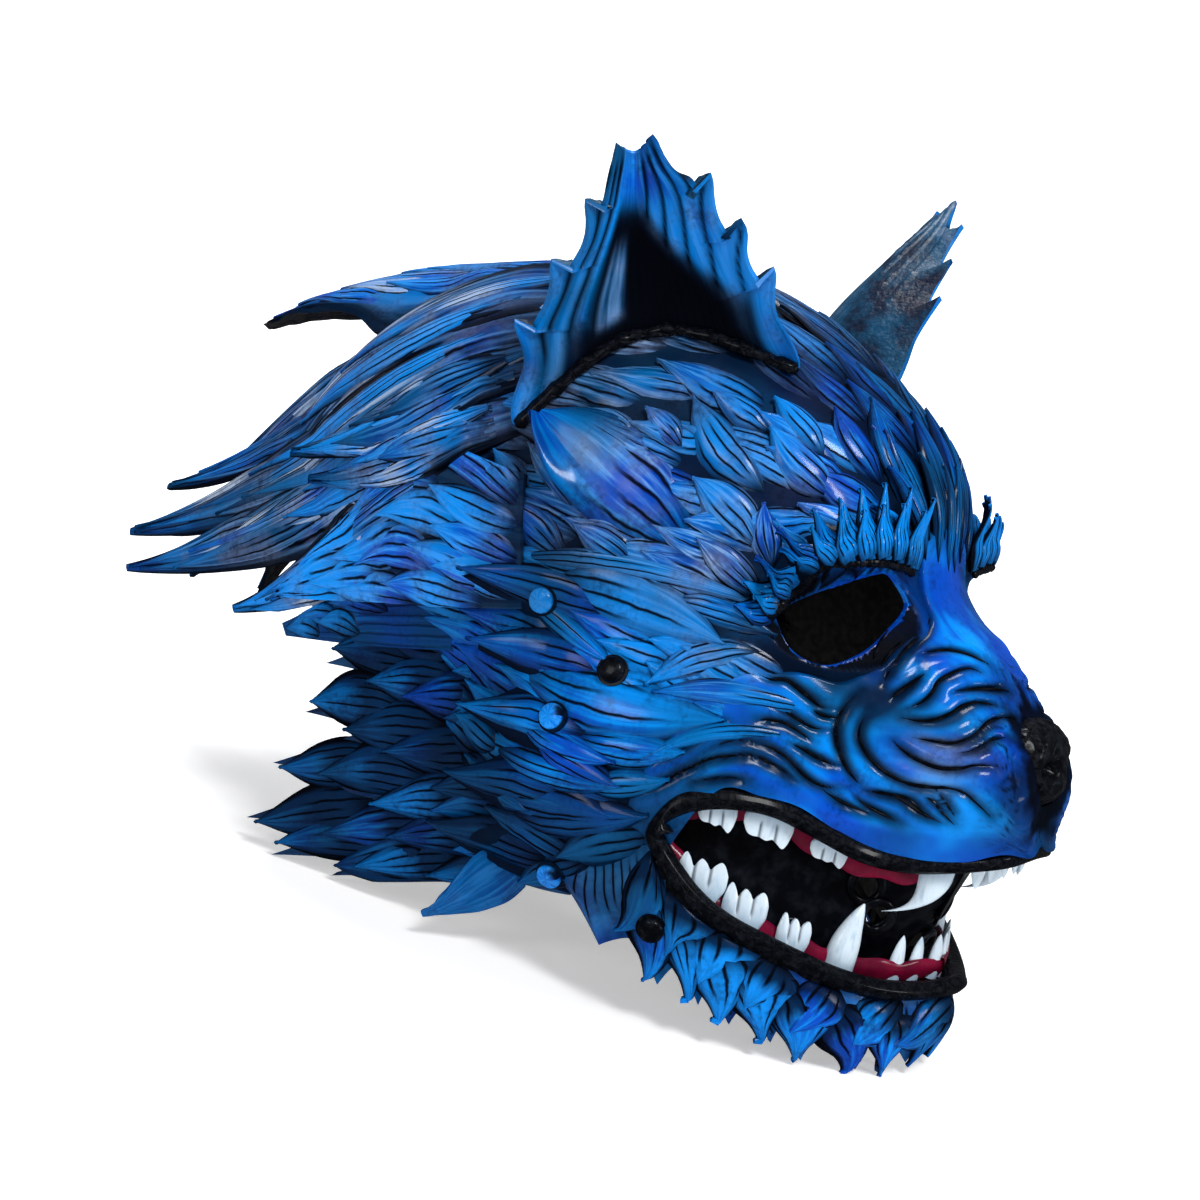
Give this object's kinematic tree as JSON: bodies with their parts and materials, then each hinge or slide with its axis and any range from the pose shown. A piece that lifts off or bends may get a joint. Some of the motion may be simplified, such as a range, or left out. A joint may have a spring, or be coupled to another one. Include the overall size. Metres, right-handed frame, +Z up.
{
  "type": "leather wolf mask",
  "caption": "Open-mouthed wolf head mask of tooled blue leather, with upright ears, long cut mane locks, a neck ruff, dark gums and pale teeth.",
  "frame": {"origin": "middle of the bounds on the surface the mask lies on", "axes": "+X to the wearer's left, +Y from the nose towards the mane, +Z up as the mask lies"},
  "size_m": [0.2224, 0.4052, 0.3143],
  "materials": {
    "blue_leather": "dyed blue and tooled, semi-gloss, black in the grooves and worn light on the high spots",
    "black_leather": "black, crinkled, semi-gloss",
    "liner": "smooth black, satin",
    "gum": "dark crimson, glossy",
    "tooth": "painted pale bluish white, semi-gloss",
    "blue_rivet": "painted blue",
    "black_rivet": "painted black"
  },
  "bodies": {
    "root": {"brow_left": "blue_leather", "brow_right": "blue_leather", "canine_lower_left": "tooth", "canine_lower_right": "tooth", "canine_upper_left": "tooth", "canine_upper_right": "tooth", "crest": "blue_leather", "crown": "blue_leather", "ear_left": "blue_leather", "ear_right": "blue_leather", "face": "blue_leather", "gum_lower": "gum", "gum_upper": "gum", "incisors_lower": "tooth", "incisors_upper": "tooth", "jaw": "blue_leather", "lip_trim": "black_leather", "mane_back": "blue_leather", "mane_lower_left": "blue_leather", "mane_lower_right": "blue_leather", "mane_nape": "blue_leather", "mane_side_left": "blue_leather", "mane_side_right": "blue_leather", "mane_upper_left": "blue_leather", "mane_upper_right": "blue_leather", "molar_lower_1_left": "tooth", "molar_lower_1_right": "tooth", "molar_lower_2_left": "tooth", "molar_lower_2_right": "tooth", "molar_lower_3_left": "tooth", "molar_lower_3_right": "tooth", "molar_upper_1_left": "tooth", "molar_upper_1_right": "tooth", "molar_upper_2_left": "tooth", "molar_upper_2_right": "tooth", "molar_upper_3_left": "tooth", "molar_upper_3_right": "tooth", "mouth_liner": "liner", "nose_pad": "black_leather", "rivet_1_left": "blue_rivet", "rivet_1_right": "blue_rivet", "rivet_2_left": "black_rivet", "rivet_2_right": "black_rivet", "rivet_3_left": "blue_rivet", "rivet_3_right": "blue_rivet", "rivet_4_left": "blue_rivet", "rivet_4_right": "blue_rivet", "rivet_5_left": "black_rivet", "rivet_5_right": "black_rivet", "ruff_left": "blue_leather", "ruff_right": "blue_leather"}
  },
  "joints": []
}
